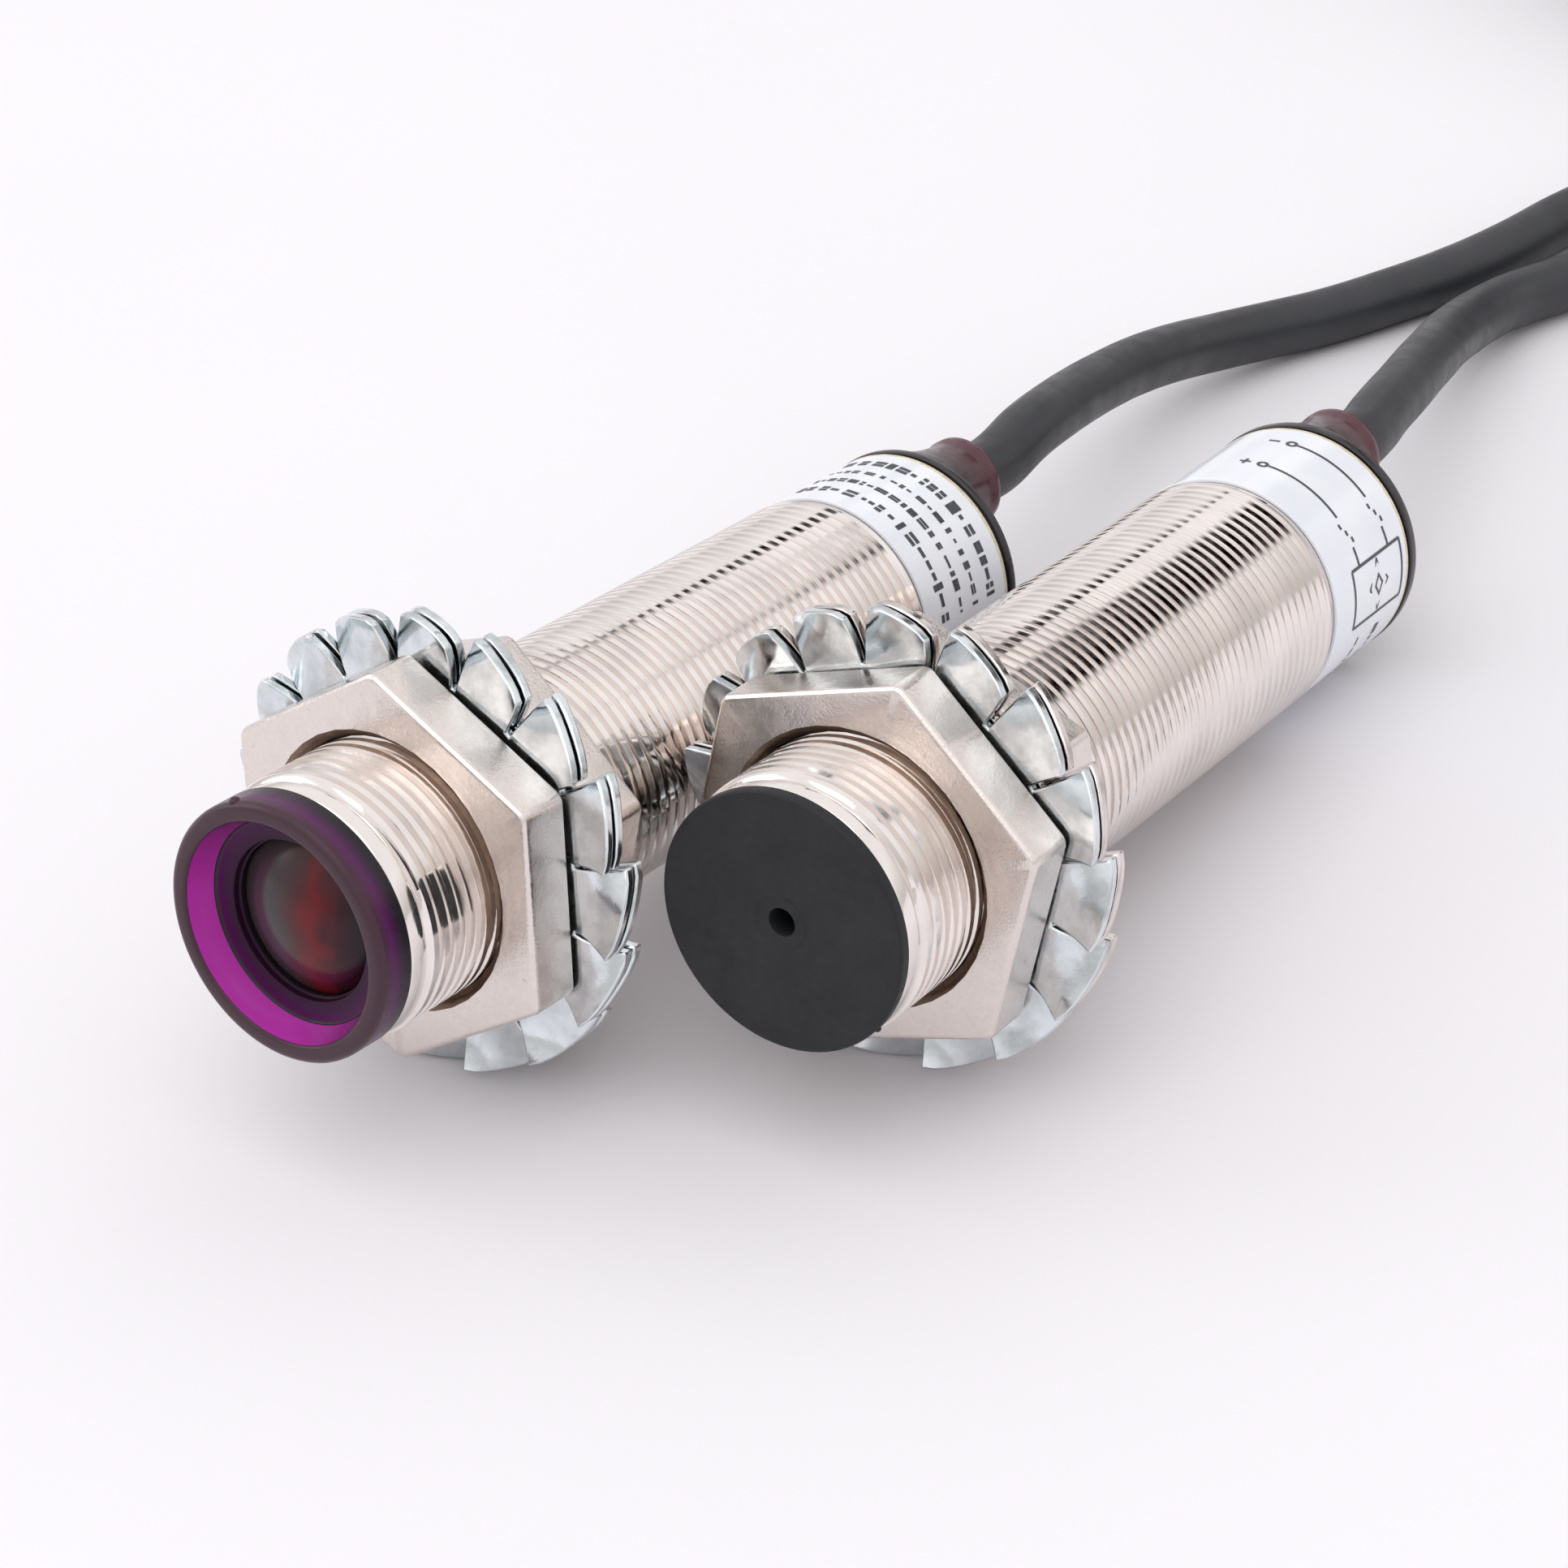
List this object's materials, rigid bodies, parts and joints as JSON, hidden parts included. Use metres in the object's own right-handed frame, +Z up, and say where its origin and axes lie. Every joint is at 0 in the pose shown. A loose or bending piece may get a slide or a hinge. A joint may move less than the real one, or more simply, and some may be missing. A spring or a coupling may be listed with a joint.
{
  "type": "photoelectric sensor",
  "caption": "Through-beam photoelectric sensor pair in M18 threaded nickel barrels: a laser emitter and a receiver with nuts, toothed lock washers and coiled cables.",
  "frame": {"origin": "centre of the pair's footprint on the surface that it lies on, cables left out", "axes": "+Z up, +Y from the front faces towards the cable ends, +X to the right seen from the front"},
  "size_m": [0.0628, 0.3199, 0.0317],
  "materials": {
    "nickel_thread": "bright nickel plate over a turned brass thread",
    "nickel_nut": "satin nickel plate with a fine cast grain",
    "zinc_washer": "bright blue zinc plate on stamped spring steel",
    "black_plastic": "matte moulded black",
    "dark_red_plastic": "translucent dark red, nearly black where thick",
    "purple_plastic": "translucent purple, satin outside, magenta where thin",
    "red_lens": "dark red filter lens, polished",
    "clear_lens": "clear polished lens",
    "white_label": null,
    "cable_pvc": "soft charcoal PVC jacket, satin",
    "circuit_board": "green solder mask",
    "chip_epoxy": "moulded black epoxy or rubber",
    "brass": "turned brass",
    "steel": "plain bright steel",
    "red_led": "diffused red epoxy",
    "aluminium_can": "bright aluminium can with a sleeve band",
    "nylon": "natural nylon",
    "lead_brown": "brown PVC insulation",
    "lead_blue": "blue PVC insulation",
    "lead_black": "black PVC insulation"
  },
  "bodies": {
    "emitter": {"emitter_barrel": "nickel_thread", "emitter_front_cap": "black_plastic", "emitter_wrap_label": "white_label", "emitter_rear_cap": "dark_red_plastic", "emitter_strain_relief": "dark_red_plastic", "emitter_laser_tube": "brass", "emitter_module_holder": "black_plastic", "emitter_collimating_lens": "clear_lens", "emitter_lens_retainer": "brass", "emitter_laser_diode": "steel", "emitter_circuit_board": "circuit_board", "emitter_driver_chip": "chip_epoxy", "emitter_protection_diode": "chip_epoxy", "emitter_power_transistor": "chip_epoxy", "emitter_capacitor": "aluminium_can", "emitter_indicator_led": "red_led", "emitter_cap_seal": "chip_epoxy", "emitter_cable": "cable_pvc", "emitter_cable_coil": "cable_pvc", "emitter_coil_tie": "nylon", "emitter_lead_brown": "lead_brown", "emitter_lead_blue": "lead_blue"},
    "receiver": {"receiver_barrel": "nickel_thread", "receiver_lens_cup": "purple_plastic", "receiver_front_lens": "red_lens", "receiver_wrap_label": "white_label", "receiver_rear_cap": "dark_red_plastic", "receiver_strain_relief": "dark_red_plastic", "receiver_light_baffle": "black_plastic", "receiver_photodiode": "chip_epoxy", "receiver_sensor_board": "circuit_board", "receiver_circuit_board": "circuit_board", "receiver_amplifier_chip": "chip_epoxy", "receiver_shield_can": "steel", "receiver_output_transistor": "chip_epoxy", "receiver_trimmer": "nylon", "receiver_capacitor": "aluminium_can", "receiver_indicator_led": "red_led", "receiver_cap_seal": "chip_epoxy", "receiver_cable": "cable_pvc", "receiver_cable_coil": "cable_pvc", "receiver_coil_tie": "nylon", "receiver_lead_brown": "lead_brown", "receiver_lead_blue": "lead_blue", "receiver_lead_black": "lead_black"},
    "receiver_front_washer": {"receiver_front_lock_washer": "zinc_washer"},
    "receiver_front_nut": {"receiver_front_nut": "nickel_nut"},
    "receiver_rear_washer": {"receiver_rear_lock_washer": "zinc_washer"},
    "receiver_rear_nut": {"receiver_rear_nut": "nickel_nut"},
    "emitter_front_washer": {"emitter_front_lock_washer": "zinc_washer"},
    "emitter_front_nut": {"emitter_front_nut": "nickel_nut"},
    "emitter_rear_washer": {"emitter_rear_lock_washer": "zinc_washer"},
    "emitter_rear_nut": {"emitter_rear_nut": "nickel_nut"}
  },
  "joints": [
    {"name": "emitter_set_apart", "type": "slide", "parent": "receiver", "child": "emitter", "axis": [1, 0, 0], "range_m": [0, 0.06]},
    {"name": "receiver_front_washer_slide", "type": "slide", "parent": "receiver", "child": "receiver_front_washer", "axis": [0.0433, 0.9911, -0.126], "range_m": [-0.006, 0]},
    {"name": "receiver_front_nut_turn", "type": "hinge", "parent": "receiver_front_washer", "child": "receiver_front_nut", "pos_m": [-0.01318, -0.03401, 0.01623], "axis": [0.0433, 0.9911, -0.126], "range_deg": [-2160, 0]},
    {"name": "receiver_rear_washer_slide", "type": "slide", "parent": "receiver", "child": "receiver_rear_washer", "axis": [0.0433, 0.9911, -0.126], "range_m": [0, 0.0035]},
    {"name": "receiver_rear_nut_turn", "type": "hinge", "parent": "receiver_rear_washer", "child": "receiver_rear_nut", "pos_m": [-0.01291, -0.02777, 0.01543], "axis": [0.0433, 0.9911, -0.126], "range_deg": [0, 1260]},
    {"name": "emitter_front_washer_slide", "type": "slide", "parent": "emitter", "child": "emitter_front_washer", "axis": [0, 0.9926, -0.1212], "range_m": [-0.0035, 0]},
    {"name": "emitter_front_nut_turn", "type": "hinge", "parent": "emitter_front_washer", "child": "emitter_front_nut", "pos_m": [0.01308, -0.01948, 0.01622], "axis": [0, 0.9926, -0.1212], "range_deg": [-1260, 0]},
    {"name": "emitter_rear_washer_slide", "type": "slide", "parent": "emitter", "child": "emitter_rear_washer", "axis": [0, 0.9926, -0.1212], "range_m": [0, 0.006]},
    {"name": "emitter_rear_nut_turn", "type": "hinge", "parent": "emitter_rear_washer", "child": "emitter_rear_nut", "pos_m": [0.01308, -0.01322, 0.01545], "axis": [0, 0.9926, -0.1212], "range_deg": [0, 2160]}
  ],
  "couplings": [
    {"joint": "receiver_front_nut_turn", "follows": "receiver_front_washer_slide", "rad_per_m": 6283.2},
    {"joint": "receiver_rear_nut_turn", "follows": "receiver_rear_washer_slide", "rad_per_m": 6283.2},
    {"joint": "emitter_front_nut_turn", "follows": "emitter_front_washer_slide", "rad_per_m": 6283.2},
    {"joint": "emitter_rear_nut_turn", "follows": "emitter_rear_washer_slide", "rad_per_m": 6283.2}
  ]
}
